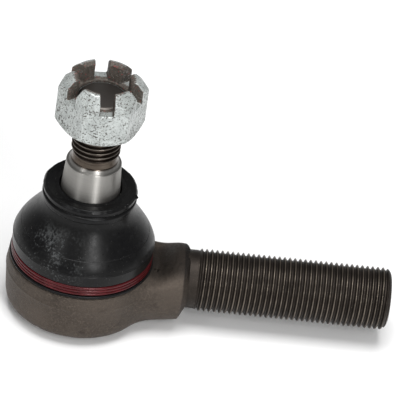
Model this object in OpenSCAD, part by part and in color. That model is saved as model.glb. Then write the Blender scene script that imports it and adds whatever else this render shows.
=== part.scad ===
// Tie rod end: forged housing with a left-hand threaded shank, a ball stud with a tapered seat and
// a slotted nut, and a rubber boot held by a red wire ring. Millimetres.
// X runs out along the shank, Z up along the stud, and the origin is where the two axes cross.

/* [Ball stud] */
// Diameter of the ball
ball_d = 24; // [20:0.1:30]
// Height of the ball's centre
ball_z = 1; // [-1:0.1:3]
// Outside diameter of the stud's M14 thread
stud_thread_d = 13.86; // [11:0.02:17]
// How much wider the taper's small end is than the thread
taper_step = 1.74; // [1:0.02:3]
// Length of taper for one millimetre of diameter
taper_ratio = 8; // [6:1:12]
// Length of the taper that shows above the boot
taper_show = 7.6; // [5:0.1:14]
// Length of the plain neck between the taper and the thread
stud_neck = 4.5; // [3.5:0.1:8]
// Length of thread that shows under the nut
thread_show = 7.3; // [2:0.1:12]
// Diameter of the cross hole for a split pin
pin_hole_d = 3.5; // [3:0.1:4]
// How far the cross hole is below the stud's end
pin_hole_down = 5.4; // [4:0.1:7]

/* [Housing] */
// Thickness of the seats between the ball and the bore
seat_wall = 2.4; // [1.8:0.1:3.5]
// Thickness of the eye's wall at its parting line
eye_wall = 6.8; // [5.5:0.1:9]
// How much narrower the eye is at its lower edge
eye_draft = 0.7; // [0:0.1:1.5]
// Radius of the rounding along the eye's lower edge
eye_rounding = 2.2; // [1:0.1:3]
// Height of the rim inside the boot above the shoulder it stands on
rim_height = 3.8; // [3:0.1:5]

/* [Neck and shank] */
// Distance from the eye to the turned chamfer at the end of the neck
neck_length = 8; // [6:0.1:14]
// Outside diameter of the shank's M18 thread
shank_thread_d = 17.9; // [14.9:0.05:21.9]
// Length of the shank's thread, with its end chamfer
shank_length = 55.4; // [40:0.1:90]
// How much wider the neck's end is than the thread, on the radius
collar_step = 2.05; // [1:0.05:3]
// How far the neck's middle lies below the shank's
neck_drop = 0.7; // [0:0.1:2]
// How far the saddle in the neck's top lies below its collar
saddle_depth = 4.2; // [3:0.1:6]
// Pitch of both threads
pitch = 1.5; // [1:0.25:2]

/* [Slotted nut] */
// Width across the nut's flats
nut_flats = 22; // [20:0.5:24]
// Height of the nut
nut_height = 16; // [14:0.5:18]
// Width of each slot
slot_width = 4; // [3:0.1:5]
// Depth of each slot
slot_depth = 5.6; // [4:0.1:7]
// Turn of the nut about the stud, degrees
nut_turn = 6.5; // [0:0.5:60]

/* [Boot] */
// Height of the boot above the shoulder it stands on
boot_height = 26.5; // [22:0.1:32]
// Wall of the rubber boot
boot_wall = 1.6; // [1.2:0.1:2.2]
// How far the boot's band stands out from the rim inside it
band_step = 1.9; // [1.7:0.1:3]
// How far the boot's neck stands out from the taper's large end
neck_step = 4.47; // [3.5:0.1:6]
// How far the flange stands out from the boot's neck
flange_step = 0.5; // [0.3:0.05:1.5]
// Diameter of the red ring's wire
wire_d = 1; // [0.8:0.1:1.4]
// Turns of wire in the red ring
wire_turns = 3; // [2:1:4]

/* [Hidden] */
clear = 0.05; // between a fixed piece and the bore it is pressed in
run = 0.04; // between a ball, a thread or a seat and what it moves in
soft = 0.12; // between rubber and metal
$fn = 96;

// threads
thread_depth = 5 / 16 * pitch * tan(60);
crest = pitch / 8;
flank = 5 / 16 * pitch;
root = pitch / 4;
shank_r = shank_thread_d / 2;
stud_r = stud_thread_d / 2;

// ball, seats and bore
ball_r = ball_d / 2;
seat_top = 62; // polar angle of the upper seat's opening
seat_h = ball_r * cos(seat_top);
bore_radius = ball_r + seat_wall;
mouth_radius = bore_radius - 1.8;
seat_r = bore_radius - clear;
seat_low_z = ball_z - ball_r + 0.8; // underside of the lower seat

// eye
eye_radius = bore_radius + eye_wall;
eye_low_r = eye_radius - eye_draft;
eye_bottom_z = ball_z - ball_r - 0.4;
parting_z = ball_z - 0.6; // height of the forging's parting line
shoulder_z = ball_z + seat_h - 2.23;
rim_z = shoulder_z + rim_height;
rim_radius = mouth_radius + 5.8;

// bottom cap and the lip turned over it
lid_r = bore_radius + 1.1;
lid_t = 1.5;
lid_step_z = eye_bottom_z + 0.8;
lid_low_z = lid_step_z - lid_t;
lip_low_z = lid_low_z - 1.1;
cup_r = bore_radius - 0.2;
spring_in = ball_r * 0.533;
spring_t = 0.6;

// neck and shank
neck_radius = shank_r + collar_step;
neck_root_radius = neck_radius + 2.6;
collar_x = eye_radius + neck_length; // where the turned chamfer starts
relief_x = collar_x + 1.8;
relief_radius = shank_r - 0.55;
thread_x = relief_x + 2.8;
shank_end_x = thread_x + shank_length;
collar_top_z = relief_radius - 0.25;
neck_top_z = collar_top_z - saddle_depth;
crown_radius = 19; // of the collar's crowned top, seen along the shank
saddle_r = 6.02;

// boot and its rings
groove_z = shoulder_z + 1; // lower edge of the wire ring's groove
wire_step = wire_d * 0.95;
ring_h = wire_d + (wire_turns - 1) * wire_step;
band_radius = rim_radius + band_step;
bead_radius = band_radius + 0.4;
ring_r = bead_radius - 0.45 - wire_d / 2; // middle of the red wire
groove_r = ring_r - wire_d / 2 - soft / 2; // bottom of the wire's groove
boot_low_z = groove_z + ring_h + 2.2; // where the boot starts to close in
lip_z = shoulder_z + boot_height;
boot_high_z = lip_z - 5.3;
neck_ring_z = lip_z - 6.5;
neck_ring_h = 1.2;

// stud above the ball
taper_bottom_z = lip_z - 4.1;
taper_top_z = lip_z + taper_show;
taper_small_r = stud_r + taper_step / 2;
taper_large_r = taper_small_r + (taper_top_z - taper_bottom_z) / (2 * taper_ratio);
stem_radius = taper_large_r - 0.93;
neck_seat_r = taper_large_r - 0.43; // stud where the boot's neck runs
neck_ring_r = neck_seat_r + 1.5; // outside of the steel ring inside the boot's neck
boot_neck_radius = taper_large_r + neck_step;
flange_radius = boot_neck_radius + flange_step;
stud_thread_z = taper_top_z + stud_neck;
nut_z = stud_thread_z + thread_show;
stud_end_z = nut_z + nut_height - slot_depth - 0.3;
hex_r = nut_flats / (2 * cos(30));
crown_gap = 0.35; // room round the stud above the nut's thread

// Half section of an external thread's ridges as (along, radius), from a to b.
function ridges(a, b, r) =
    let (n = floor((b - a) / pitch))
    [for (k = [0:n - 1]) let (s = a + k * pitch) each [
        [s, r - thread_depth],
        [s + root / 2, r - thread_depth],
        [s + root / 2 + flank, r],
        [s + root / 2 + flank + crest, r],
        [s + root / 2 + 2 * flank + crest, r - thread_depth]
    ]];

function flip(points) = [for (p = points) [p[1], p[0]]];

// Outside radius of the boot's dome at a height.
function boot_r(z) =
    let (t = (z - boot_low_z) / (boot_high_z - boot_low_z))
    boot_neck_radius + (band_radius - boot_neck_radius) * (1 + cos(180 * t)) / 2;

// Outline of the neck seen from the side, with its hollow top and raised collar.
module neck_side() {
    difference() {
        polygon([
            [0, -16], [relief_x, -16], [relief_x, collar_top_z - 0.3], [collar_x - 0.6, collar_top_z],
            [collar_x - 1.6, collar_top_z], [collar_x - 5, neck_top_z], [0, neck_top_z]
        ]);
        translate([collar_x - 7.2, neck_top_z + saddle_r - 0.02])
            circle(r = saddle_r);
    }
}

// Outline of the forging from above: the eye runs into the neck on both sides.
module neck_plan() {
    difference() {
        polygon([
            [eye_radius - 11.2, 2.8 - eye_radius], [eye_radius - 1.8, 0.4 - neck_root_radius],
            [eye_radius + 1.8, -neck_radius - 0.9], [relief_x, -neck_radius - 0.3],
            [relief_x, neck_radius + 0.3], [eye_radius + 1.8, neck_radius + 0.9],
            [eye_radius - 1.8, neck_root_radius - 0.4], [eye_radius - 11.2, eye_radius - 2.8]
        ]);
        for (s = [-1, 1])
            translate([eye_radius + 5.1, s * (neck_radius + 8.4)])
                circle(r = 7.6);
    }
}

module neck() {
    intersection() {
        rotate([90, 0, 0])
            linear_extrude(height = 60, center = true)
                neck_side();
        translate([0, 0, -20])
            linear_extrude(height = 40)
                neck_plan();
        translate([8, 0, -neck_drop])
            rotate([0, 90, 0])
                cylinder(r1 = neck_root_radius, r2 = neck_radius, h = relief_x - 8);
        translate([8, 0, collar_top_z - crown_radius])
            rotate([0, 90, 0])
                cylinder(r = crown_radius, h = relief_x - 8);
        rotate([0, 90, 0])
            rotate_extrude()
                polygon([
                    [0, 0], [30, 0], [30, collar_x - 12], [neck_radius + neck_drop, collar_x],
                    [relief_radius, relief_x], [0, relief_x]
                ]);
    }
}

// Half section of the eye: shoulder, rim, rounded lower edge and the turned-in bottom lip.
module eye_section() {
    difference() {
        union() {
            polygon([
                [mouth_radius, rim_z - 1.6], [mouth_radius + 0.8, rim_z], [rim_radius - 0.5, rim_z],
                [rim_radius, rim_z - 0.5], [rim_radius, shoulder_z], [eye_radius - 0.7, shoulder_z],
                [eye_radius - 0.2, shoulder_z - 0.6], [eye_radius, parting_z],
                [eye_low_r, eye_bottom_z + eye_rounding], [eye_low_r - eye_rounding, eye_bottom_z],
                [lid_r + 1.1, eye_bottom_z], [lid_r + 0.1, lip_low_z], [cup_r, lip_low_z],
                [cup_r, lid_low_z + 0.1], [mouth_radius, lid_low_z + 0.1]
            ]);
            translate([eye_low_r - eye_rounding, eye_bottom_z + eye_rounding])
                circle(r = eye_rounding);
        }
        polygon([
            [0, lid_low_z - clear], [lid_r + clear, lid_low_z - clear],
            [lid_r + clear, lid_step_z + clear], [bore_radius, lid_step_z + clear],
            [bore_radius, ball_z + seat_h - 1.7], [mouth_radius, ball_z + seat_h + 0.1],
            [0, ball_z + seat_h + 0.1]
        ]);
    }
}

module housing() {
    color("DimGray")
    union() {
        rotate_extrude()
            eye_section();
        difference() {
            neck();
            translate([0, 0, -20])
                cylinder(r = bore_radius + 3, h = 40);
            translate([0, 0, shoulder_z])
                cylinder(r = eye_radius, h = 20);
            translate([0, 0, -30 + eye_bottom_z + 0.6])
                cylinder(r = eye_radius - 1, h = 30);
        }
        rotate([0, 90, 0])
            rotate_extrude()
                polygon(concat(
                    [[0, collar_x - 2], [relief_radius, collar_x - 2], [relief_radius, thread_x - 0.6]],
                    flip(ridges(thread_x, shank_end_x - 1.4, shank_r)),
                    [[shank_r - thread_depth, shank_end_x - 1.2], [shank_r - 1.9, shank_end_x],
                     [0, shank_end_x]]
                ));
    }
}

module ball_stud() {
    color("Silver")
    difference() {
        rotate_extrude()
            union() {
                intersection() {
                    translate([0, ball_z])
                        circle(r = ball_r);
                    translate([0, ball_z - ball_r + 1.4])
                        square([ball_r + 1, 2 * ball_r]);
                }
                polygon(concat(
                    [[0, ball_z], [stem_radius, ball_z], [stem_radius, lip_z - 8.5],
                     [neck_seat_r, lip_z - 7.7], [neck_seat_r, taper_bottom_z - 0.6],
                     [taper_large_r, taper_bottom_z], [taper_small_r, taper_top_z],
                     [taper_small_r - 0.7, taper_top_z + 0.4], [stud_r - 0.35, taper_top_z + 1.7],
                     [stud_r - thread_depth, stud_thread_z - 1]],
                    flip(ridges(stud_thread_z, stud_end_z - 1.5, stud_r)),
                    [[stud_r - thread_depth, stud_end_z - 0.5], [stud_r - thread_depth - 0.5, stud_end_z],
                     [0, stud_end_z]]
                ));
            }
        translate([0, 0, stud_end_z - pin_hole_down])
            rotate([90, 0, 0])
                cylinder(d = pin_hole_d, h = 20, center = true);
    }
}

module castle_nut() {
    first = ceil((nut_z - stud_thread_z) / pitch) * pitch + stud_thread_z;
    color("Gainsboro")
    rotate([0, 0, nut_turn])
    difference() {
        intersection() {
            translate([0, 0, nut_z])
                cylinder(r = hex_r, h = nut_height, $fn = 6);
            rotate_extrude()
                polygon([
                    [0, nut_z], [nut_flats / 2 - 0.8, nut_z], [hex_r + 0.1, nut_z + 2],
                    [hex_r + 0.1, nut_z + nut_height - 3.4], [hex_r - 3.6, nut_z + nut_height],
                    [0, nut_z + nut_height]
                ]);
        }
        rotate_extrude()
            polygon(concat(
                [[0, nut_z - 1], [stud_r + 0.6, nut_z - 1], [stud_r + 0.6, nut_z],
                 [stud_r + run - thread_depth, nut_z + 1.1]],
                flip(ridges(first, nut_z + nut_height - slot_depth, stud_r + run)),
                [[stud_r + run - thread_depth, nut_z + nut_height - slot_depth],
                 [stud_r + crown_gap, nut_z + nut_height - slot_depth],
                 [stud_r + crown_gap, nut_z + nut_height - 0.8],
                 [stud_r + crown_gap + 0.6, nut_z + nut_height],
                 [stud_r + crown_gap + 0.6, nut_z + nut_height + 1], [0, nut_z + nut_height + 1]]
            ));
        for (a = [30, 90, 150])
            rotate([0, 0, a])
                translate([-20, -slot_width / 2, nut_z + nut_height - slot_depth])
                    cube([40, slot_width, slot_depth + 1]);
    }
}

module upper_ball_seat() {
    color("Ivory")
    rotate_extrude()
        difference() {
            polygon([
                [ball_r * sin(seat_top) - 0.3, ball_z + 0.25], [seat_r, ball_z + 0.25],
                [seat_r, ball_z + seat_h - 1.7 - clear], [mouth_radius + 0.1, ball_z + seat_h],
                [ball_r * sin(seat_top) - 0.3, ball_z + seat_h]
            ]);
            translate([0, ball_z])
                circle(r = ball_r + run);
        }
}

module lower_ball_seat() {
    color("Ivory")
    rotate_extrude()
        difference() {
            polygon([
                [spring_in - 1.2, seat_low_z], [seat_r - run - 3.3, seat_low_z],
                [seat_r - run, seat_low_z + 2.4], [seat_r - run, ball_z - 1], [spring_in - 1.2, ball_z - 1]
            ]);
            translate([0, ball_z])
                circle(r = ball_r + run);
        }
}

module preload_spring() {
    color("SlateGray")
    rotate_extrude()
        polygon([
            [spring_in, seat_low_z - clear - 0.1], [spring_in + 0.8, seat_low_z - clear],
            [bore_radius - 1.2, lid_low_z + 0.1 + spring_t], [bore_radius - 1.2, lid_low_z + 0.1],
            [bore_radius - 1.8, lid_low_z + 0.1], [spring_in, seat_low_z - clear - 0.1 - spring_t]
        ]);
}

module end_cap() {
    color("DarkGray")
    rotate_extrude()
        polygon([
            [0, lid_low_z - 0.1], [cup_r - 5.2, lid_low_z - 0.1], [cup_r - 3.6, lid_low_z + 0.05],
            [cup_r - 0.1, lid_low_z + 0.05], [cup_r, lid_step_z], [lid_r, lid_step_z],
            [lid_r, lid_low_z], [cup_r, lid_low_z], [cup_r - 0.6, lip_low_z + 0.1],
            [0, lip_low_z + 0.1]
        ]);
}

module dust_boot() {
    steps = 14;
    rise = (boot_high_z - boot_low_z) / steps;
    color("Black")
    rotate_extrude()
        polygon(concat(
            [[rim_radius + soft, shoulder_z + soft], [bead_radius, shoulder_z + soft],
             [bead_radius, groove_z - soft / 2], [groove_r, groove_z - soft / 2],
             [groove_r, groove_z + ring_h + soft / 2], [band_radius - 0.2, groove_z + ring_h + soft / 2]],
            [for (k = [0:steps]) [boot_r(boot_low_z + k * rise), boot_low_z + k * rise]],
            [[flange_radius - 0.2, boot_high_z + 0.4], [flange_radius - 0.2, boot_high_z + 1.6],
             [flange_radius - 0.5, boot_high_z + 2], [flange_radius, boot_high_z + 2.4],
             [flange_radius, lip_z - 1.1],
             [flange_radius - 0.3, lip_z - 0.2], [flange_radius - 0.7, lip_z],
             [flange_radius - 1.2, lip_z - 0.3], [flange_radius - 1.5, lip_z - 0.8],
             [taper_large_r + 0.3, lip_z - 2.3], [taper_large_r + soft, lip_z - 3.3],
             [taper_large_r + soft, neck_ring_z + neck_ring_h + soft],
             [neck_ring_r + soft, neck_ring_z + neck_ring_h + soft],
             [neck_ring_r + soft, neck_ring_z - soft],
             [neck_seat_r + soft, neck_ring_z - soft], [neck_seat_r + soft, neck_ring_z - 1]],
            [for (k = [steps - 2:-1:0])
                [boot_r(boot_low_z + k * rise) - boot_wall - 0.3, boot_low_z + k * rise - 0.6]],
            [[rim_radius + soft, rim_z + 0.5]]
        ));
}

module boot_neck_ring() {
    color("Gray")
    rotate_extrude()
        translate([neck_seat_r + run, neck_ring_z])
            square([neck_ring_r - neck_seat_r - run, neck_ring_h]);
}

module boot_clamp_ring() {
    color("DarkRed")
    rotate_extrude()
        for (k = [0:wire_turns - 1])
            translate([ring_r, groove_z + wire_d / 2 + k * wire_step])
                circle(d = wire_d);
}

housing();
ball_stud();
castle_nut();
upper_ball_seat();
lower_ball_seat();
preload_spring();
end_cap();
dust_boot();
boot_neck_ring();
boot_clamp_ring();
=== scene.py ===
import math

import bpy
import numpy as np
from mathutils import Matrix, Vector


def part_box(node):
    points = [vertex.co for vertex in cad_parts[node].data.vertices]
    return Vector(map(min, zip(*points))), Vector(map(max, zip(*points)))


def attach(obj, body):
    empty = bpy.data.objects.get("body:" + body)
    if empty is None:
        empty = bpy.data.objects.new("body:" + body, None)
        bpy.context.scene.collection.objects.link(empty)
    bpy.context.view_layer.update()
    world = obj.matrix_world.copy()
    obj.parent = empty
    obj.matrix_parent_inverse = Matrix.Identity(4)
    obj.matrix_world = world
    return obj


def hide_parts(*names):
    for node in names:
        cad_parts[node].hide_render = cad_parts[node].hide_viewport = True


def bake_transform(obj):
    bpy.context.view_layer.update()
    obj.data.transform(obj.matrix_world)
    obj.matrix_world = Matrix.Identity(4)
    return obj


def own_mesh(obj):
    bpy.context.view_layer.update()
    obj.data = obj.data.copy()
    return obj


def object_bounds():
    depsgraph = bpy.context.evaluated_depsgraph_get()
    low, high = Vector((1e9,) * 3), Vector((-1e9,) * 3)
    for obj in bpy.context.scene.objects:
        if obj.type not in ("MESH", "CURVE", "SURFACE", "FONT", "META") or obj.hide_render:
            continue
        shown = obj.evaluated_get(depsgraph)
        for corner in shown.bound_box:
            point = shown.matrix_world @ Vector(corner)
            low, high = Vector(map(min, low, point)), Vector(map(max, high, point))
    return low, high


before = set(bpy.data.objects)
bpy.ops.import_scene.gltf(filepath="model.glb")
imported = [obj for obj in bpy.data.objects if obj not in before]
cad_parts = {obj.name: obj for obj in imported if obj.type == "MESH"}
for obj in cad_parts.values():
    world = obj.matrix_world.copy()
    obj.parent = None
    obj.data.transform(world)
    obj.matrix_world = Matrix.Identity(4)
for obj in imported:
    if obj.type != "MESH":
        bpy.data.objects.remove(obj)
cad_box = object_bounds()
MM = 0.001

# ---------------------------------------------------------------- sizes, from the frame, in mm


def span(node):
    """The low and high corners of a CAD node's box, in mm."""
    low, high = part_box(node)
    return np.array(low) / MM, np.array(high) / MM


house_low, house_high = span("housing")
stud_low, stud_high = span("ball_stud")
nut_low, nut_high = span("castle_nut")
boot_low, boot_high = span("dust_boot")
ring_low, ring_high = span("boot_clamp_ring")

EYE_R = -house_low[0]
SHANK_END = house_high[0]
BALL_Z = 1.0
NUT_Z, NUT_TOP = nut_low[2], nut_high[2]
STUD_END = stud_high[2]
LIP_Z = boot_high[2]
BEAD_R = boot_high[0]
RING_R = ring_high[0]
SHOULDER = boot_low[2] - 0.12
PITCH = 1.5
SHANK_R = 8.95
STUD_R = 6.93
DEPTH = 0.812
RELIEF_X, THREAD_X = 31.0, 33.8
RELIEF_R = 8.4
CONE_SLOPE = 1.83
TAPER_TOP, TAPER_LOW = 38.5, 26.8
TAPER_R = 7.8
BALL_R = 12.0
STUD_THREAD_Z = 41.13

# ---------------------------------------------------------------- mesh helpers


def add_mesh(name, verts, faces):
    """A smooth-shaded mesh object from points in millimetres."""
    mesh = bpy.data.meshes.new(name)
    points = (np.asarray(verts, float) * MM).tolist()
    mesh.from_pydata(points, [], [list(map(int, f)) for f in faces])
    mesh.update()
    mesh.validate()
    mesh.polygons.foreach_set("use_smooth", [True] * len(mesh.polygons))
    ob = bpy.data.objects.new(name, mesh)
    bpy.context.scene.collection.objects.link(ob)
    return ob


def smoothstep(a, b, x):
    """0 below a, 1 above b, and an S-curve between."""
    t = np.clip((x - a) / (b - a), 0, 1)
    return t * t * (3 - 2 * t)


def rounded(points, steps=6):
    """An outline from points (r, z, fillet radius): each corner becomes an arc.

    A point just outside each end of an arc keeps the smooth shading of its flat runs flat.
    """
    n = len(points)
    out = []
    for i, (r, z, fillet) in enumerate(points):
        p = np.array([r, z], float)
        if fillet <= 0 or i in (0, n - 1):
            out.append(p)
            continue
        a = np.array(points[i - 1][:2], float) - p
        b = np.array(points[i + 1][:2], float) - p
        la, lb = np.linalg.norm(a), np.linalg.norm(b)
        a, b = a / la, b / lb
        half = math.acos(np.clip(a @ b, -1, 1)) / 2
        cut = min(fillet / math.tan(half), 0.48 * la, 0.48 * lb)
        radius = cut * math.tan(half)
        middle = p + (a + b) / np.linalg.norm(a + b) * radius / math.sin(half)
        start, end = p + a * cut, p + b * cut
        u, v = start - middle, end - middle
        turn = math.acos(np.clip(u @ v / (np.linalg.norm(u) * np.linalg.norm(v)), -1, 1))
        out.append(start + a * min(0.06, 0.3 * cut))
        for k in range(steps + 1):
            t = k / steps
            arm = u * math.sin((1 - t) * turn) + v * math.sin(t * turn)
            out.append(middle + arm / math.sin(turn))
        out.append(end + b * min(0.06, 0.3 * cut))
    return np.array(out)


def refine(profile, longest):
    """The same outline with no run longer than this."""
    out = [profile[0]]
    for a, b in zip(profile[:-1], profile[1:]):
        n = max(1, int(math.ceil(np.linalg.norm(b - a) / longest)))
        for k in range(1, n + 1):
            out.append(a + (b - a) * k / n)
    return np.array(out)


def tube_faces(rows, columns, closed_rows=False):
    """Quads of a grid that closes round its columns.

    They face out where the rows run up a solid of revolution.
    """
    faces = []
    for i in range(rows if closed_rows else rows - 1):
        a, b = i * columns, (i + 1) % rows * columns
        for j in range(columns):
            k = (j + 1) % columns
            faces.append((a + j, a + k, b + k, b + j))
    return faces


def fan_faces(rows, columns):
    """Triangles that close both ends of a tube, whose two centre points come after its grid."""
    low, high, top = rows * columns, rows * columns + 1, (rows - 1) * columns
    faces = []
    for j in range(columns):
        k = (j + 1) % columns
        faces += [(low, k, j), (high, top + j, top + k)]
    return faces


def turned(name, profile, columns, closed=False, shape=None):
    """Turns an outline of (radius, height) about Z. shape(r, z, angle) may move its points.

    An open outline starts and ends near the axis, and a centre point closes each end.
    """
    rows = len(profile)
    angle = np.arange(columns) / columns * 2 * math.pi
    r, a = np.meshgrid(profile[:, 0], angle, indexing="ij")
    z = np.meshgrid(profile[:, 1], angle, indexing="ij")[0]
    if shape is not None:
        r, z = shape(r, z, a)
    verts = np.stack([r * np.cos(a), r * np.sin(a), z], -1).reshape(-1, 3)
    faces = tube_faces(rows, columns, closed)
    if not closed:
        verts = np.vstack([verts, [0, 0, z[0].mean()], [0, 0, z[-1].mean()]])
        faces += fan_faces(rows, columns)
    return add_mesh(name, verts, faces)


def surface_nets(field, low, step):
    """Quads round the zero of a sampled field, negative inside."""
    inside = field < 0
    cells = tuple(n - 1 for n in field.shape)
    corners = [(i, j, k) for i in (0, 1) for j in (0, 1) for k in (0, 1)]

    def part(a, c):
        return a[c[0]:c[0] + cells[0], c[1]:c[1] + cells[1], c[2]:c[2] + cells[2]]

    count = sum(part(inside, c).astype(np.int8) for c in corners)
    mixed = (count > 0) & (count < 8)
    where = np.argwhere(mixed)
    index = np.full(cells, -1, np.int64)
    index[mixed] = np.arange(len(where))
    total = np.zeros((len(where), 3))
    hits = np.zeros(len(where))
    for c in corners:
        for axis in range(3):
            if c[axis]:
                continue
            d = list(c)
            d[axis] = 1
            fa = field[where[:, 0] + c[0], where[:, 1] + c[1], where[:, 2] + c[2]]
            fb = field[where[:, 0] + d[0], where[:, 1] + d[1], where[:, 2] + d[2]]
            cross = (fa < 0) != (fb < 0)
            t = np.where(cross, fa / np.where(cross, fa - fb, 1), 0)
            p = np.tile(np.array(c, float), (len(where), 1))
            p[:, axis] += t
            total[cross] += p[cross]
            hits += cross
    verts = low + step * (where + total / hits[:, None])
    faces = []
    for axis in range(3):
        u, v = (axis + 1) % 3, (axis + 2) % 3
        a = [slice(1, -1)] * 3
        b = [slice(1, -1)] * 3
        a[axis], b[axis] = slice(0, -1), slice(1, None)
        first, second = inside[tuple(a)], inside[tuple(b)]
        for up in (True, False):
            at = np.argwhere(first & ~second if up else ~first & second)
            at = at + np.array([0 if i == axis else 1 for i in range(3)])
            quad = []
            for du, dv in ((-1, -1), (0, -1), (0, 0), (-1, 0)):
                q = at.copy()
                q[:, u] += du
                q[:, v] += dv
                quad.append(index[q[:, 0], q[:, 1], q[:, 2]])
            quad = np.stack(quad if up else quad[::-1], 1)
            faces.append(quad)
    return verts, np.vstack(faces)


def carved(name, distance, low, high, step, settle=4):
    """A mesh of the zero of distance(x, y, z), in millimetres, with its points moved onto it.

    A point that the moves bring no nearer, or take too far, stays where it started.
    """
    low, high = np.array(low, float), np.array(high, float)
    axes = [np.arange(low[i], high[i] + step, step) for i in range(3)]
    field = np.empty([len(a) for a in axes], np.float64)
    y, z = np.meshgrid(axes[1], axes[2], indexing="ij")
    for i, x in enumerate(axes[0]):
        field[i] = distance(np.full_like(y, x), y, z)
    verts, faces = surface_nets(field, low, step)
    e = 0.02
    first, miss = verts.copy(), np.abs(distance(*verts.T))
    for _ in range(settle):
        f = distance(*verts.T)
        slopes = []
        for nudge in np.eye(3) * e:
            slopes.append((distance(*(verts + nudge).T) - distance(*(verts - nudge).T)) / (2 * e))
        g = np.stack(slopes, 1)
        size = np.maximum((g * g).sum(1), 0.05)
        move = -(f / size)[:, None] * g
        length = np.linalg.norm(move, axis=1, keepdims=True)
        verts = verts + move * np.minimum(1, 0.5 * step / np.maximum(length, 1e-9))
    far = np.linalg.norm(verts - first, axis=1) > 0.9 * step
    worse = (np.abs(distance(*verts.T)) > miss) | far
    verts[worse] = first[worse]
    return add_mesh(name, verts, faces)


def smax(a, b, k):
    """The larger of two distances, with their corner rounded over a width of k."""
    h = np.maximum(k - np.abs(a - b), 0) / k
    return np.maximum(a, b) + h * h * k / 4


def smin(a, b, k):
    """The smaller of two distances, with their corner filled over a width of k."""
    return -smax(-a, -b, k)


def wobble(x, y, z, seed, scale):
    """A smooth bumpy field from about -1 to 1."""
    rng = np.random.default_rng(seed)
    out = 0
    for k in range(7):
        d = rng.normal(size=3)
        d *= (0.6 + 0.28 * k) / (scale * np.linalg.norm(d))
        out = out + np.sin(x * d[0] + y * d[1] + z * d[2] + rng.uniform(0, 6.28)) / (1 + 0.35 * k)
    return out / 2.6


# ---------------------------------------------------------------- materials


class Paint:
    """Builds one node material."""

    def __init__(self, name):
        self.material = bpy.data.materials.new(name)
        self.material.use_nodes = True
        self.tree = self.material.node_tree
        self.tree.nodes.clear()
        self.shader = self.add("ShaderNodeBsdfPrincipled")
        out = self.add("ShaderNodeOutputMaterial")
        self.tree.links.new(self.shader.outputs[0], out.inputs[0])
        self.place = self.add("ShaderNodeTexCoord").outputs["Object"]

    def add(self, kind, **values):
        node = self.tree.nodes.new(kind)
        for key, value in values.items():
            setattr(node, key, value)
        return node

    def put(self, socket, value):
        if hasattr(value, "is_linked"):
            self.tree.links.new(value, socket)
        else:
            socket.default_value = value

    def set(self, **values):
        for key, value in values.items():
            self.put(self.shader.inputs[key.replace("_", " ")], value)

    def mapped(self, scale=(1, 1, 1), vector=None):
        node = self.add("ShaderNodeMapping")
        self.put(node.inputs["Vector"], self.place if vector is None else vector)
        node.inputs["Scale"].default_value = scale
        return node.outputs[0]

    def noise(self, scale, detail=3, rough=0.55, vector=None, warp=0.0):
        node = self.add("ShaderNodeTexNoise")
        self.put(node.inputs["Vector"], self.place if vector is None else vector)
        node.inputs["Scale"].default_value = scale
        node.inputs["Detail"].default_value = detail
        node.inputs["Roughness"].default_value = rough
        node.inputs["Distortion"].default_value = warp
        return node.outputs["Fac"]

    def math(self, kind, a, b=0.0, c=0.0):
        node = self.add("ShaderNodeMath", operation=kind)
        for socket, value in zip(node.inputs, (a, b, c)):
            self.put(socket, value)
        return node.outputs[0]

    def band(self, value, a, b, c=0.0, d=1.0):
        """value from a..b to c..d, held at the ends."""
        node = self.add("ShaderNodeMapRange", interpolation_type="SMOOTHSTEP")
        keys = ("Value", "From Min", "From Max", "To Min", "To Max")
        for key, v in zip(keys, (value, a, b, c, d)):
            self.put(node.inputs[key], v)
        return node.outputs[0]

    def mix(self, factor, a, b):
        node = self.add("ShaderNodeMix", data_type="RGBA")
        self.put(node.inputs[0], factor)
        self.put(node.inputs[6], a)
        self.put(node.inputs[7], b)
        return node.outputs[2]

    def blendf(self, factor, a, b):
        node = self.add("ShaderNodeMix", data_type="FLOAT")
        self.put(node.inputs[0], factor)
        self.put(node.inputs[2], a)
        self.put(node.inputs[3], b)
        return node.outputs[0]

    def split(self, vector=None):
        node = self.add("ShaderNodeSeparateXYZ")
        self.put(node.inputs[0], self.place if vector is None else vector)
        return node.outputs

    def radius(self, a, b):
        squares = self.math("ADD", self.math("MULTIPLY", a, a), self.math("MULTIPLY", b, b))
        return self.math("SQRT", squares)

    def bump(self, height, depth, strength=1.0, after=None):
        node = self.add("ShaderNodeBump")
        node.inputs["Strength"].default_value = strength
        node.inputs["Distance"].default_value = depth
        self.put(node.inputs["Height"], height)
        if after is not None:
            self.put(node.inputs["Normal"], after)
        return node.outputs[0]


def rgb(r, g, b):
    """A colour given as 0-255 display values."""
    def line(v):
        v /= 255
        return v / 12.92 if v <= 0.04045 else ((v + 0.055) / 1.055) ** 2.4
    return (line(r), line(g), line(b), 1.0)


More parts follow.
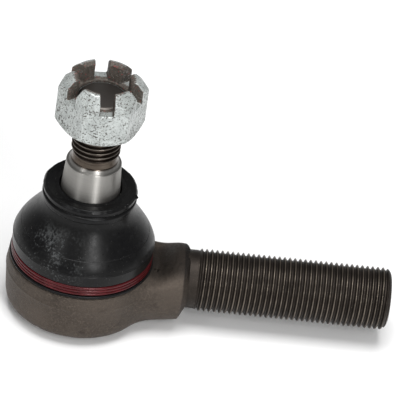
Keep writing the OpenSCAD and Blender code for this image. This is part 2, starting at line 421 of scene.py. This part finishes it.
def paint_forging():
    """Dark phosphated forging, with painted shade on the neck's flat top and on the turned cone."""
    p = Paint("forged_steel")
    x, y, z = p.split()
    coarse = p.noise(190, 4, 0.6)
    fine = p.noise(1500, 3, 0.6)
    grain = p.noise(4200, 2, 0.5)
    patch = p.noise(60, 3, 0.5, warp=0.4)
    base = p.mix(p.band(patch, 0.35, 0.65), rgb(66, 59, 53), rgb(82, 74, 67))
    base = p.mix(p.band(fine, 0.42, 0.72), base, rgb(92, 83, 75))
    base = p.mix(p.band(grain, 0.60, 0.74, 0, 0.5), base, rgb(128, 117, 105))
    base = p.mix(p.band(coarse, 0.28, 0.42, 0.55, 0), base, rgb(48, 42, 38))
    ax = p.radius(y, z)
    # painted shade: the up-facing top of the neck, from x = 19.5 mm on, is darkened
    over = p.band(p.math("MULTIPLY_ADD", ax, -1.0, z), -0.0058, -0.0020)
    top_shade = p.math("MULTIPLY", p.band(x, 0.0175, 0.0195), over)
    base = p.mix(p.math("MULTIPLY", top_shade, 0.72), base, rgb(26, 22, 19))
    # painted shade: the turned cone between the neck and the shank's relief is darkened
    cone = p.math("ADD", ax, p.math("MULTIPLY", x, CONE_SLOPE))
    cut = p.math("MULTIPLY", p.band(x, 0.0292, 0.0296), p.band(cone, 0.0655, 0.0645))
    base = p.mix(p.math("MULTIPLY", cut, 0.8), base, rgb(24, 21, 19))
    p.set(Base_Color=base, Metallic=0.8)
    p.set(Roughness=p.band(fine, 0.3, 0.7, 0.50, 0.66))
    n = p.bump(p.noise(560, 5, 0.68), 0.00040, 0.9)
    n = p.bump(grain, 0.00016, 1.0, n)
    p.set(Normal=n)
    return p.material


def paint_thread(name, axis, crest, dark, light, rough=0.42):
    """Dark machined thread whose crests are lighter, partly from wear and partly as a painted
    highlight. axis 0 runs along X, 2 along Z.
    """
    p = Paint(name)
    c = p.split()
    other = [i for i in range(3) if i != axis]
    r = p.radius(c[other[0]], c[other[1]])
    light_crest = p.band(r, (crest - 0.16) * MM, (crest - 0.01) * MM)
    patch = p.noise(240, 4, 0.6)
    fine = p.noise(2600, 2, 0.5)
    base = p.mix(p.band(patch, 0.3, 0.7), dark, [v * 1.5 for v in dark[:3]] + [1])
    # lighter crests: partly wear, partly a painted highlight for the bright crest lines
    base = p.mix(p.math("MULTIPLY", light_crest, p.band(patch, 0.3, 0.6, 0.45, 1.0)), base, light)
    base = p.mix(p.band(fine, 0.62, 0.75, 0, 0.35), base, light)
    p.set(Base_Color=base, Metallic=0.8, Roughness=p.blendf(light_crest, rough + 0.08, rough - 0.1))
    stretch = p.mapped(tuple(60 if i == axis else 4 for i in range(3)))
    n = p.bump(p.noise(60, 3, 0.6, stretch), 0.00004, 0.6)
    n = p.bump(fine, 0.00004, 0.5, n)
    p.set(Normal=n)
    return p.material


def paint_ground():
    """The stud: ground taper, polished neck, dark thread and turned end."""
    p = Paint("machined_steel")
    x, y, z = p.split()
    r = p.radius(x, y)
    rings = p.noise(9, 4, 0.7, p.mapped((1, 1, 900)))
    fine = p.noise(2400, 3, 0.5)
    patch = p.noise(180, 4, 0.6)
    thread = p.band(z, 0.0410, 0.0416)
    neck = p.band(z, (TAPER_TOP + 0.3) * MM, (TAPER_TOP + 0.8) * MM)
    end = p.band(z, (STUD_END - 0.9) * MM, (STUD_END - 0.3) * MM)
    bright = p.mix(p.band(rings, 0.35, 0.65), rgb(150, 148, 144), rgb(176, 174, 170))
    bright = p.mix(p.band(patch, 0.58, 0.75, 0, 0.35), bright, rgb(150, 144, 136))
    brown = p.mix(p.band(patch, 0.3, 0.7), rgb(70, 62, 55), rgb(92, 84, 76))
    light_crest = p.band(r, (STUD_R - 0.2) * MM, (STUD_R - 0.02) * MM)
    dark = p.mix(p.band(patch, 0.3, 0.7), rgb(46, 40, 36), rgb(62, 55, 50))
    dark = p.mix(p.math("MULTIPLY", light_crest, 0.85), dark, rgb(120, 113, 105))
    turned_end = p.mix(p.band(rings, 0.3, 0.7), rgb(84, 80, 77), rgb(100, 96, 92))
    base = p.mix(neck, bright, brown)
    base = p.mix(thread, base, dark)
    base = p.mix(end, base, turned_end)
    rough = p.blendf(neck, p.band(rings, 0.3, 0.7, 0.40, 0.48), 0.26)
    rough = p.blendf(thread, rough, 0.36)
    rough = p.blendf(end, rough, 0.45)
    p.set(Base_Color=base, Metallic=1.0, Roughness=rough, Anisotropic_Rotation=0.25)
    p.set(Anisotropic=p.band(z, (TAPER_TOP + 1.0) * MM, (TAPER_TOP + 0.2) * MM, 0.0, 0.9))
    tangent = p.add("ShaderNodeTangent", direction_type="RADIAL", axis="Z")
    p.set(Tangent=tangent.outputs[0])
    n = p.bump(rings, 0.000012, 0.5)
    n = p.bump(fine, 0.00001, 0.4, n)
    p.set(Normal=n)
    return p.material


def paint_zinc():
    """Zinc plate with dark pits, and painted shade in the slots and the bore."""
    p = Paint("zinc_steel")
    x, y, z = p.split()
    r = p.radius(x, y)
    patch = p.noise(110, 3, 0.55, warp=0.5)
    pits = p.noise(1900, 2, 0.55)
    specks = p.noise(3400, 2, 0.5)
    # painted shade mask: the bore and the sideways-facing slot walls in the nut's upper part
    inner = p.band(r, 0.0090, 0.0078)
    nx, ny, nz = p.split(p.add("ShaderNodeNewGeometry").outputs["Normal"])
    dot = p.math("ADD", p.math("MULTIPLY", x, nx), p.math("MULTIPLY", y, ny))
    outward = p.math("DIVIDE", dot, r)
    side = p.band(outward, 0.55, 0.30)
    side = p.math("MULTIPLY", side, p.band(nz, 0.92, 0.75))
    inner = p.math("MAXIMUM", inner, p.math("MULTIPLY", side, 0.9))
    high = p.band(z, (NUT_TOP - 7.0) * MM, (NUT_TOP - 6.0) * MM)
    inner = p.math("MULTIPLY", inner, high)
    level = p.math("ADD", p.math("MULTIPLY", patch, 0.22), p.math("MULTIPLY", inner, 0.20))
    dark = p.band(p.math("ADD", pits, level), 0.68, 0.74)
    dots = p.band(p.math("ADD", specks, p.math("MULTIPLY", level, 0.8)), 0.69, 0.75)
    base = p.mix(p.band(p.noise(330, 4, 0.6), 0.3, 0.7), rgb(158, 163, 161), rgb(186, 191, 189))
    # painted shade: dark brown in the bore and slots
    base = p.mix(p.math("MULTIPLY", inner, 0.85), base, rgb(66, 60, 54))
    glint = p.math("MULTIPLY", p.band(p.noise(2100, 2, 0.5), 0.55, 0.62), inner)
    base = p.mix(p.math("MULTIPLY", glint, 0.8), base, rgb(200, 188, 178))
    base = p.mix(p.math("MULTIPLY", dark, 0.88), base, rgb(58, 52, 46))
    base = p.mix(p.math("MULTIPLY", dots, 0.7), base, rgb(92, 84, 76))
    pink = p.math("MULTIPLY", p.band(p.noise(1700, 1, 0.5), 0.66, 0.72), inner)
    base = p.mix(p.math("MULTIPLY", pink, 0.8), base, rgb(150, 70, 70))
    spot = p.math("MAXIMUM", dark, dots)
    p.set(Base_Color=base, Metallic=p.blendf(spot, 0.30, 0.1))
    p.set(Roughness=p.blendf(spot, p.band(patch, 0.3, 0.7, 0.24, 0.34), 0.7))
    n = p.bump(p.noise(700, 3, 0.6), 0.00005, 0.5)
    n = p.bump(p.math("SUBTRACT", 1.0, spot), 0.00008, 0.8, n)
    p.set(Normal=n)
    return p.material


def paint_rubber():
    """Black rubber, duller and greyer where dust has been rubbed on it."""
    p = Paint("boot_rubber")
    x, y, z = p.split()
    fine = p.noise(900, 4, 0.6)
    specks = p.noise(2400, 2, 0.5)
    broad = p.math("MULTIPLY", p.noise(170, 4, 0.6), 0.55)
    smear = p.math("MULTIPLY_ADD", p.noise(1500, 3, 0.7), 0.62, broad)
    side = p.band(x, 0.003, -0.010)
    front = p.band(y, -0.004, -0.013)
    low = p.math("MULTIPLY", p.band(z, 0.0075, 0.010), p.band(z, 0.024, 0.017))
    where = p.math("MULTIPLY", p.math("MULTIPLY", side, front), low)
    dusty = p.math("MULTIPLY", p.band(smear, 0.585, 0.70), where)
    base = p.mix(p.band(p.noise(90, 3, 0.5), 0.35, 0.65), rgb(13, 13, 14), rgb(18, 18, 18))
    base = p.mix(p.band(fine, 0.55, 0.75, 0, 0.5), base, rgb(34, 34, 35))
    base = p.mix(p.math("MULTIPLY", dusty, 0.55), base, rgb(92, 94, 95))
    base = p.mix(p.band(specks, 0.735, 0.765, 0, 0.8), base, rgb(128, 126, 124))
    p.set(Base_Color=base, Specular_IOR_Level=0.15)
    p.set(Roughness=p.blendf(dusty, p.band(fine, 0.3, 0.7, 0.27, 0.36), 0.75))
    n = p.bump(fine, 0.00005, 0.5)
    n = p.bump(p.noise(150, 4, 0.6), 0.00006, 0.3, n)
    p.set(Normal=n)
    return p.material


def paint_red():
    """Dark red coated wire."""
    p = Paint("red_wire")
    patch = p.noise(260, 4, 0.6)
    base = p.mix(p.band(patch, 0.35, 0.7), rgb(66, 8, 13), rgb(84, 14, 20))
    base = p.mix(p.band(p.noise(1900, 2, 0.5), 0.66, 0.76, 0, 0.6), base, rgb(70, 16, 20))
    p.set(Base_Color=base, Metallic=0.3, Specular_IOR_Level=0.3)
    p.set(Roughness=p.band(patch, 0.3, 0.7, 0.26, 0.38))
    p.set(Coat_Weight=0.12, Coat_Roughness=0.2)
    p.set(Normal=p.bump(p.noise(1200, 3, 0.6), 0.00002, 0.4))
    return p.material


def paint_pressed():
    """Pressed steel of the bottom cap."""
    p = Paint("cap_steel")
    patch = p.noise(140, 4, 0.6, warp=0.5)
    fine = p.noise(1800, 3, 0.55)
    base = p.mix(p.band(patch, 0.35, 0.65), rgb(112, 106, 100), rgb(140, 134, 127))
    base = p.mix(p.band(fine, 0.6, 0.75, 0, 0.5), base, rgb(84, 77, 70))
    p.set(Base_Color=base, Metallic=0.85, Roughness=p.band(fine, 0.3, 0.7, 0.36, 0.5))
    p.set(Normal=p.bump(p.noise(600, 4, 0.6), 0.00004, 0.5))
    return p.material


def paint_spring():
    """Oiled spring steel."""
    p = Paint("spring_steel")
    fine = p.noise(1500, 3, 0.55)
    base = p.mix(p.band(p.noise(200, 3, 0.6), 0.35, 0.65), rgb(70, 70, 74), rgb(92, 92, 96))
    p.set(Base_Color=base, Metallic=0.9, Roughness=p.band(fine, 0.3, 0.7, 0.3, 0.42))
    p.set(Normal=p.bump(fine, 0.00002, 0.4))
    return p.material


def paint_seat():
    """Pale moulded plastic."""
    p = Paint("seat_plastic")
    fine = p.noise(1300, 3, 0.55)
    base = p.mix(p.band(p.noise(120, 3, 0.6), 0.35, 0.65), rgb(222, 216, 198), rgb(234, 229, 214))
    p.set(Base_Color=base, Roughness=p.band(fine, 0.3, 0.7, 0.38, 0.5))
    p.set(Subsurface_Weight=0.08, Subsurface_Scale=0.002)
    p.set(Normal=p.bump(fine, 0.00003, 0.4))
    return p.material


def paint_floor():
    """Nearly white floor."""
    p = Paint("floor")
    cloudy = p.band(p.noise(6, 3, 0.5), 0.35, 0.65)
    base = p.mix(cloudy, (0.95, 0.95, 0.95, 1), (0.97, 0.97, 0.97, 1))
    p.set(Base_Color=base, Roughness=0.9)
    return p.material


FORGED, ZINC, GROUND, RUBBER = paint_forging(), paint_zinc(), paint_ground(), paint_rubber()
RED, PRESSED, SPRING, SEAT = paint_red(), paint_pressed(), paint_spring(), paint_seat()
SHANK = paint_thread("shank_thread", 0, SHANK_R, rgb(40, 35, 31), rgb(112, 103, 93))


def place(ob, body, material, slot, *nodes):
    """Paints a piece, puts it on its body and lets it stand in for these CAD nodes."""
    ob.data.materials.clear()
    ob.data.materials.append(material)
    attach(ob, body)
    if nodes:
        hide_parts(*nodes)
    return ob


# ---------------------------------------------------------------- forged housing


PARTING_Z = 0.4
EYE_FOOT, EYE_FOOT_ROUND = -11.4, 4.2
NECK_FROM, NECK_LENGTH, NECK_R, NECK_THINNER, NECK_DROP = 8, 23, 14.3, 3.2, 0.7
NECK_TOP, SADDLE_RISE = 4.3, 4.05
CAVITY_R, CAVITY_CONE_Z, CAVITY_TOP = 14.4, 4.9, 6.7
MOUTH_R, RIM_R, RIM_TOP = 12.6, 18.35, 8.15
RECESS_R, RECESS_Z = 15.55, -10.55
LIP_IN, LIP_OUT, LIP_TOP, LIP_FOOT = 14.15, 16.7, -11.2, -13.15
PIT = (21.6, -3.6, 4.35)


def eye_shape(r, z):
    """The round eye, with draft both ways from its parting line."""
    up = z - PARTING_Z
    wall = r - (EYE_R - 0.12 - np.where(up < 0, -0.06 * up, 0.11 * up))
    return smax(smax(wall, z - SHOULDER, 1.1), EYE_FOOT - z, EYE_FOOT_ROUND)


def neck_shape(x, y, z, cone):
    """The neck: a narrowing tube with a flat top that rises towards the shank's collar."""
    t = np.clip((x - NECK_FROM) / NECK_LENGTH, 0, 1)
    tube = np.hypot(y, z + NECK_DROP) - (NECK_R - NECK_THINNER * t)
    top = NECK_TOP + SADDLE_RISE * smoothstep(21.0, 28.6, x)
    crown = y * y / 38 * smoothstep(20.5, 28.0, x)
    neck = smax(tube, (z - (top - crown)) * 0.88, 1.8)
    neck = smax(neck, 6 - x, 0.5)
    waist = np.abs(y) - (11.75 + 0.055 * (x - 25.5) ** 2)
    neck = smax(neck, waist, 1.2)
    return smax(smax(neck, cone, 0.25), x - (RELIEF_X + 0.5), 0.2)


def forging(x, y, z):
    """Signed distance to the housing without its shank."""
    r = np.hypot(x, y)
    cone = (np.hypot(y, z) - (RELIEF_R + (RELIEF_X - x) * CONE_SLOPE)) * 0.48
    body = smin(eye_shape(r, z), neck_shape(x, y, z, cone), 2.4)
    # flash left along the parting line, and forging unevenness
    away = np.minimum(np.abs(z - PARTING_Z + 0.05), 4)
    ridge = 0.11 * np.exp(-(away / 0.30) ** 2) * (0.7 + 0.3 * wobble(x, y, z, 5, 2.0))
    body = body - np.where(x < 27.5, ridge, 0)
    body = body - 0.05 * wobble(x, y, z, 3, 2.6) * smoothstep(0.0, 0.6, -cone)
    # small pit in the neck's top
    pit = np.sqrt((x - PIT[0]) ** 2 + (y - PIT[1]) ** 2 + (z - PIT[2]) ** 2)
    body = smax(body, 0.62 - pit, 0.25)
    # recess that the bottom cap is crimped in, and its turned-in lip
    body = smax(body, np.minimum(RECESS_R - r, RECESS_Z - z), 0.2)
    slant = r - 17.0 - 0.75 * (z + 11.8)
    lip = smax(smax(slant, LIP_IN - r, 0.3), smax(z - LIP_TOP, LIP_FOOT - z, 0.4), 0.3)
    body = smin(body, smax(lip, r - LIP_OUT, 0.3), 0.3)
    # inside: seat cavity and mouth
    cavity = CAVITY_R - np.maximum(z - CAVITY_CONE_Z, 0)
    hollow = np.minimum(np.maximum(r - cavity, z - CAVITY_TOP), r - MOUTH_R)
    body = smax(body, -hollow, 0.2)
    # raised rim that the boot's band sits on
    rim = smax(smax(r - RIM_R, MOUTH_R + 0.05 - r, 0.4), z - RIM_TOP, 0.5)
    rim = smax(smax(rim, 3.0 - z, 0.3), -hollow, 0.2)
    return smin(body, rim, 0.25)


forged = carved("forged_eye", forging, (-22.2, -22.2, -14.2), (32.2, 22.2, 9.2), 0.3)
place(forged, "housing", FORGED, "forged_steel", "housing")


def quarter_round(t):
    """The height of a quarter circle at t: 0 at 0, and 1 from 1 on."""
    return np.sqrt(np.clip(1 - (1 - np.clip(t, 0, 1)) ** 2, 0, 1))


def thread_height(phase):
    """0 at the root to 1 at the crest, for a phase of 0..1 along one pitch."""
    d = np.abs((phase % 1.0) - 0.5)
    crest, root = 0.062, 0.375
    flank = np.clip((d - crest) / (root - crest), 0, 1)
    return 1 - 0.15 * smoothstep(0.045, 0.395, d) - 0.85 * flank


def shank():
    """The threaded shank, from inside the neck to its rounded end."""
    low, columns, round_x = 30.3, 150, SHANK_END - 2.2
    x = np.concatenate([
        np.linspace(low, THREAD_X - 0.8, 12, endpoint=False),
        np.arange(THREAD_X - 0.8, round_x, PITCH / 16),
        np.linspace(round_x, SHANK_END, 30)])
    angle = np.arange(columns) / columns * 2 * math.pi
    xx, aa = np.meshgrid(x, angle, indexing="ij")
    # left-hand: seen from the end, the ridge comes nearer as it turns clockwise
    phase = (xx - THREAD_X) / PITCH + aa / (2 * math.pi)
    h = thread_height(phase)
    grow = smoothstep(THREAD_X - 0.7, THREAD_X + 0.9, xx)
    root = SHANK_R - DEPTH
    r = RELIEF_R + (root + DEPTH * h - RELIEF_R) * grow
    end = SHANK_END - xx
    bound = SHANK_R - 2.2 + 2.25 * quarter_round(end / 2.3)
    r = np.where(end < 2.4, np.minimum(r, bound), r)
    r = r + 0.012 * wobble(xx, r * np.cos(aa), r * np.sin(aa), 9, 1.2)
    verts = np.stack([xx, r * np.cos(aa), r * np.sin(aa)], -1).reshape(-1, 3)
    verts = np.vstack([verts, [low, 0, 0], [SHANK_END, 0, 0]])
    faces = tube_faces(len(x), columns) + fan_faces(len(x), columns)
    return add_mesh("shank_thread", verts, faces)


place(shank(), "housing", SHANK, "forged_steel")

# ---------------------------------------------------------------- ball stud


def stud():
    """The ball stud: ball, stem, 1:8 taper, plain neck and right-hand thread."""
    around = np.radians(np.linspace(28, 140.7, 44))
    ball = np.stack([BALL_R * np.sin(around), BALL_Z - BALL_R * np.cos(around)], 1)
    stem_r, seat_r, root_r = 7.6, 8.1, STUD_R - DEPTH
    lower = rounded([(0, -9.6, 0), (5.6, -9.6, 0.3), (*ball[0], 0)], 4)
    neck = rounded([
        (*ball[-1], 0), (stem_r, 12.5, 1.5), (stem_r, 22.4, 0.6), (seat_r, 23.2, 0.3),
        (seat_r, 26.2, 0.3), (TAPER_R + (TAPER_TOP - TAPER_LOW) / 16, TAPER_LOW, 0.1),
        (TAPER_R, TAPER_TOP - 0.5, 0.3), (TAPER_R - 0.6, TAPER_TOP - 0.15, 0.25),
        (6.5, 39.4, 1.2), (6.28, 40.6, 0.8), (root_r, STUD_THREAD_Z - 0.03, 0)], 8)
    up = np.vstack([lower, ball[1:], neck[1:]])
    z_thread = np.arange(STUD_THREAD_Z + 0.03, STUD_END - 0.9, PITCH / 16)
    z_end = np.linspace(STUD_END - 0.9, STUD_END, 14)
    r = np.concatenate([up[:, 0], np.full(len(z_thread) + len(z_end), STUD_R)])
    z = np.concatenate([up[:, 1], z_thread, z_end])
    # the first point lies on the axis, where turned() puts its own
    profile = refine(np.stack([r, z], 1), 1.2)[1:]

    def shape(r, z, a):
        phase = (z - 43.0) / PITCH - a / (2 * math.pi)
        grow = smoothstep(STUD_THREAD_Z + 0.02, STUD_THREAD_Z + 1.17, z)
        threaded = root_r + DEPTH * thread_height(phase) * grow
        end = STUD_END - z
        bound = STUD_R - 1.35 + 1.35 * quarter_round(end / 1.3)
        threaded = np.where(end < 1.4, np.minimum(threaded, bound), threaded)
        return np.where(z > STUD_THREAD_Z, threaded, r), z

    return turned("ball_stud_turned", profile, 150, shape=shape)


place(stud(), "stud", GROUND, "machined_steel", "ball_stud")

# ---------------------------------------------------------------- slotted nut

TURN = math.radians(6.5)
HALF_FLATS, SLOT_HALF, SLOT_DEPTH = 11, 2.0, 5.6
NUT_SIDES = [math.radians(k) for k in (30, 90, 150)]


def nut(x, y, z):
    """Signed distance to the slotted nut, turned as it is in the photograph."""
    c, s = math.cos(TURN), math.sin(TURN)
    u, v = c * x + s * y, -s * x + c * y
    r = np.hypot(u, v)
    outside = None
    for a in NUT_SIDES:
        d = np.abs(u * math.cos(a) + v * math.sin(a)) - HALF_FLATS
        outside = d if outside is None else smax(outside, d, 0.22)
    z0, z1 = NUT_Z, NUT_TOP
    under = (r - 10.2 - (z - z0) * 1.3) * 0.61
    over = (r - 9.1 - (z1 - z) * 1.06) * 0.69
    solid = smax(smax(outside, under, 0.3), over, 0.35)
    solid = smax(smax(solid, z0 - z, 0.3), z - z1, 0.35)
    floor = z1 - SLOT_DEPTH
    for a in NUT_SIDES:
        across = np.abs(-u * math.sin(a) + v * math.cos(a)) - SLOT_HALF
        slot = smax(across, floor - z, 0.6)
        solid = smax(solid, -slot, 0.32)
    bore = np.where(z > floor - 0.2, STUD_R + 0.35, STUD_R + 0.07)
    bore = np.maximum(bore, STUD_R + 0.35 + (z - z1 + 0.7) * 0.9)
    bore = np.maximum(bore, STUD_R + 0.55 - (z - z0) * 0.9)
    solid = smax(solid, (bore - r) * 0.8, 0.16)
    return solid + 0.02 * wobble(x, y, z, 11, 1.6)


nut_body = carved(
    "slotted_nut", nut, (-13.2, -13.2, NUT_Z - 0.5), (13.2, 13.2, NUT_TOP + 0.5), 0.2)
place(nut_body, "nut", ZINC, "zinc_steel", "castle_nut")

# ---------------------------------------------------------------- rubber boot, in two halves

SEAM_Z = 16.0
DOME_FOOT, DOME_HIGH = 10.5, 25.6
RING_LOW, RING_TOP = ring_low[2], ring_high[2]
BOOT_WALL, BOOT_WALL_DROP = 1.75, 0.6


def dome(z):
    """The dome's outer radius at a height."""
    t = np.clip((z - DOME_FOOT) / (DOME_HIGH - DOME_FOOT), 0, 1)
    return 13.0 + 7.3 * (1 + np.cos(math.pi * t)) / 2


def boot_outline():
    """The boot's outside from its foot up, and its inside from the neck down."""
    foot, groove_r, skirt = SHOULDER + 0.14, RING_R - 1.15, RING_TOP + 0.1
    band = rounded([
        (18.6, foot, 0), (BEAD_R - 0.1, foot, 0.45), (BEAD_R - 0.1, RING_LOW - 0.08, 0.35),
        (groove_r, RING_LOW - 0.08, 0.15), (groove_r, skirt, 0.15), (20.1, skirt, 0.35),
        (20.22, 11.4, 0.8), (20.24, 11.85, 0.12), (20.12, 12.0, 0.06), (20.16, 12.15, 0.1)], 5)
    z = np.arange(12.3, DOME_HIGH - 0.9, 0.25)
    crown = np.stack([dome(z), z], 1)
    flange = rounded([
        (dome(DOME_HIGH - 0.9), DOME_HIGH - 0.9, 0), (12.95, DOME_HIGH - 0.35, 0.3),
        (13.42, DOME_HIGH + 0.1, 0.45), (13.42, DOME_HIGH + 1.35, 0.5),
        (12.85, DOME_HIGH + 1.75, 0.25), (12.88, DOME_HIGH + 2.0, 0.2),
        (13.3, DOME_HIGH + 2.5, 0.3), (13.34, LIP_Z - 1.9, 0.4), (12.7, LIP_Z - 1.05, 0.5),
        (11.6, LIP_Z - 1.25, 0.8), (10.2, LIP_Z - 1.55, 0.8), (8.80, LIP_Z - 1.35, 0.3),
        (8.70, LIP_Z - 3.2, 0.3), (8.65, 25.8, 0)], 6)
    inner = [(9.8, 25.7), (9.8, 24.3), (8.25, 24.2), (8.25, 23.5), (10.4, 23.4)]
    inner += [(dome(k) - BOOT_WALL, k - BOOT_WALL_DROP) for k in np.arange(23.5, 10.6, -0.5)]
    inner += [(18.5, 9.2), (18.6, 8.0)]
    return np.vstack([band, crown, flange[1:]]), np.array(inner)


def boot():
    """The boot as two closed rings that meet at SEAM_Z."""
    outer, inner = boot_outline()
    seam = np.array([[dome(SEAM_Z), SEAM_Z]])
    seam_in = seam - [[BOOT_WALL, BOOT_WALL_DROP]]
    below, above = outer[:, 1] < SEAM_Z, outer[:, 1] > SEAM_Z + 0.02
    inner_below = inner[:, 1] < seam_in[0, 1] - 0.02
    inner_above = inner[:, 1] > seam_in[0, 1] + 0.02
    lower = np.vstack([outer[below], seam, seam_in, inner[inner_below]])
    upper = np.vstack([seam, outer[above], inner[inner_above], seam_in])

    def ragged(r, z, a):
        """The flange's torn edge with two tabs, and a slightly uneven dome."""
        top = smoothstep(LIP_Z - 2.9, LIP_Z - 2.0, z) * smoothstep(12.0, 13.0, r)
        x, y = 13 * np.cos(a), 13 * np.sin(a)
        rough = wobble(x, y, 0 * a, 21, 0.35) * 0.5 + wobble(x, y, 0 * a, 22, 0.9) * 0.5
        tab = np.exp(-((a - 6.06) / 0.035) ** 2) + 0.5 * np.exp(-((a - 0.62) / 0.05) ** 2)
        r = r + top * (0.14 * rough + 0.02)
        z = z + top * 0.07 * rough
        r = r + tab * 0.55 * smoothstep(LIP_Z - 3.0, LIP_Z - 2.2, z) * smoothstep(12.6, 13.3, r)
        soft = 0.04 * wobble(r * np.cos(a), r * np.sin(a), z, 23, 3.5)
        free = smoothstep(8.6, 10.5, z) * smoothstep(9.0, 11.5, r)
        return r + soft * free, z

    halves = []
    for name, outline in (("boot_lower", lower), ("boot_upper", upper)):
        halves.append(turned(name, refine(outline, 0.7), 200, closed=True, shape=ragged))
    return halves


lower, upper = boot()
for half in (lower, upper):
    half.data.materials.append(RUBBER)
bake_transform(lower)
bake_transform(upper)
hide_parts("dust_boot")

# ---------------------------------------------------------------- red ring: one wire wound three times


def coil():
    """The wire: level round each turn, with a short climb at the turn's end."""
    wire, turns, sides = 0.5, 3, 14
    pitch = (RING_TOP - RING_LOW - 2 * wire) / (turns - 1)
    start = math.radians(112)
    n = 150 * turns
    angle = np.linspace(0, turns * 2 * math.pi - 0.06, n)
    turn = angle / (2 * math.pi)
    step = np.floor(turn)
    climb = step + smoothstep(0.9, 1.0, turn - step)
    z = RING_LOW + wire + pitch * np.clip(climb, 0, turns - 1)
    middle = RING_R - wire
    a = start + angle
    centre = np.stack([middle * np.cos(a), middle * np.sin(a), z], 1)
    out = np.stack([np.cos(a), np.sin(a), 0 * a], 1)
    lift = np.array([0, 0, 1.0])
    verts = []
    for k in range(sides):
        t = 2 * math.pi * k / sides
        verts.append(centre + wire * 0.985 * (out * math.cos(t) + lift * math.sin(t)))
    verts = np.stack(verts, 1).reshape(-1, 3)
    ends = [list(range(sides))[::-1], list(range((n - 1) * sides, n * sides))]
    return add_mesh("red_spring_ring", verts, tube_faces(n, sides) + ends)


place(coil(), "housing", RED, "red_wire", "boot_clamp_ring")

# ---------------------------------------------------------------- pressed bottom cap

cap_profile = rounded([
    (0, -13.0, 0), (6.2, -13.0, 0.5), (7.0, -12.55, 0.5), (9.6, -12.55, 0.5),
    (10.4, -13.05, 0.4), (13.6, -13.05, 0.4), (14.1, -12.15, 0.3), (15.45, -12.1, 0.2),
    (15.45, -10.65, 0.3), (14.15, -10.65, 0.3), (14.0, -12.0, 0.4), (10.6, -12.05, 0.4),
    (9.2, -12.2, 0.2), (0, -12.2, 0)], 4)
# its ends lie on the axis, where turned() puts its own points
cap = turned("pressed_cap", refine(cap_profile, 1.0)[1:-1], 128)
place(cap, "housing", PRESSED, "cap_steel", "end_cap")

# ---------------------------------------------------------------- disc spring under the lower seat

spring_low, spring_high = span("preload_spring")
inner_r, outer_r = 6.45, spring_high[0] - 0.03
disc = rounded([
    (inner_r, spring_high[2] - 0.7, 0.1), (inner_r, spring_high[2] - 0.12, 0.15),
    (inner_r + 0.9, spring_high[2] - 0.03, 0.15), (outer_r, spring_low[2] + 0.6, 0.15),
    (outer_r, spring_low[2] + 0.03, 0.12), (outer_r - 0.6, spring_low[2] + 0.03, 0.1)], 4)[::-1]
spring = turned("disc_spring", refine(disc, 0.8), 112, closed=True)
spring.data.flip_normals()
place(spring, "housing", SPRING, "spring_steel", "preload_spring")
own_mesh(spring)

# ---------------------------------------------------------------- inner pieces keep their CAD shape

KEPT = {"upper_ball_seat": SEAT, "lower_ball_seat": SEAT, "boot_neck_ring": SPRING}
for node, material in KEPT.items():
    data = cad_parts[node].data
    data.materials.clear()
    data.materials.append(material)

# ---------------------------------------------------------------- floor, lights, camera

FLOOR = 900
corners = [(-FLOOR, -FLOOR, 0), (FLOOR, -FLOOR, 0), (FLOOR, FLOOR, 0), (-FLOOR, FLOOR, 0)]
floor = add_mesh("floor", corners, [(0, 1, 2, 3)])
floor.location.z = cad_box[0][2]
floor.data.materials.append(paint_floor())


def lamp(name, at, wide, tall, power):
    """A soft white lamp at this place, facing the middle of the part."""
    data = bpy.data.lights.new(name, "AREA")
    data.shape = "RECTANGLE"
    data.size, data.size_y = wide, tall
    data.energy = power
    ob = bpy.data.objects.new(name, data)
    ob.location = at
    aim = Vector((0.02, 0, 0.02)) - Vector(at)
    ob.rotation_euler = aim.to_track_quat("-Z", "Y").to_euler()
    bpy.context.scene.collection.objects.link(ob)


lamp("top", (0.02, -0.10, 0.90), 0.55, 0.55, 7.5)
lamp("left", (-0.56, -0.54, 0.50), 0.12, 0.6, 1.2)
lamp("right", (0.27, -0.77, 0.50), 0.14, 0.6, 4.6)

world = bpy.data.worlds.new("studio")
world.use_nodes = True
sky = world.node_tree.nodes["Background"]
sky.inputs["Color"].default_value = (1, 1, 1, 1)
sky.inputs["Strength"].default_value = 0.22
bpy.context.scene.world = world

# the photograph's angle: azimuth, elevation and roll in degrees, distance in metres
AZIMUTH, ELEVATION, ROLL, DISTANCE = -5.0, 36.3, 9.0, 1.0
FOCAL_LENGTHS_PER_WIDTH = 3550.0 / 400
TARGET = Vector((0.03107, 0, 0.02815))
a, e, w = (math.radians(v) for v in (AZIMUTH, ELEVATION, ROLL))
back = Vector((math.sin(a) * math.cos(e), -math.cos(a) * math.cos(e), math.sin(e)))
right = Vector((math.cos(a), math.sin(a), 0))
up = back.cross(right)
right, up = right * math.cos(w) + up * math.sin(w), up * math.cos(w) - right * math.sin(w)
turn = Matrix((right, up, back)).transposed().to_4x4()
camera = bpy.data.cameras.new("camera")
camera.sensor_width = 36
camera.lens = FOCAL_LENGTHS_PER_WIDTH * camera.sensor_width
camera.clip_end = 20
eye = bpy.data.objects.new("camera", camera)
eye.matrix_world = Matrix.Translation(TARGET + back * DISTANCE) @ turn
bpy.context.scene.collection.objects.link(eye)
bpy.context.scene.camera = eye
bpy.context.scene.view_settings.view_transform = "Standard"
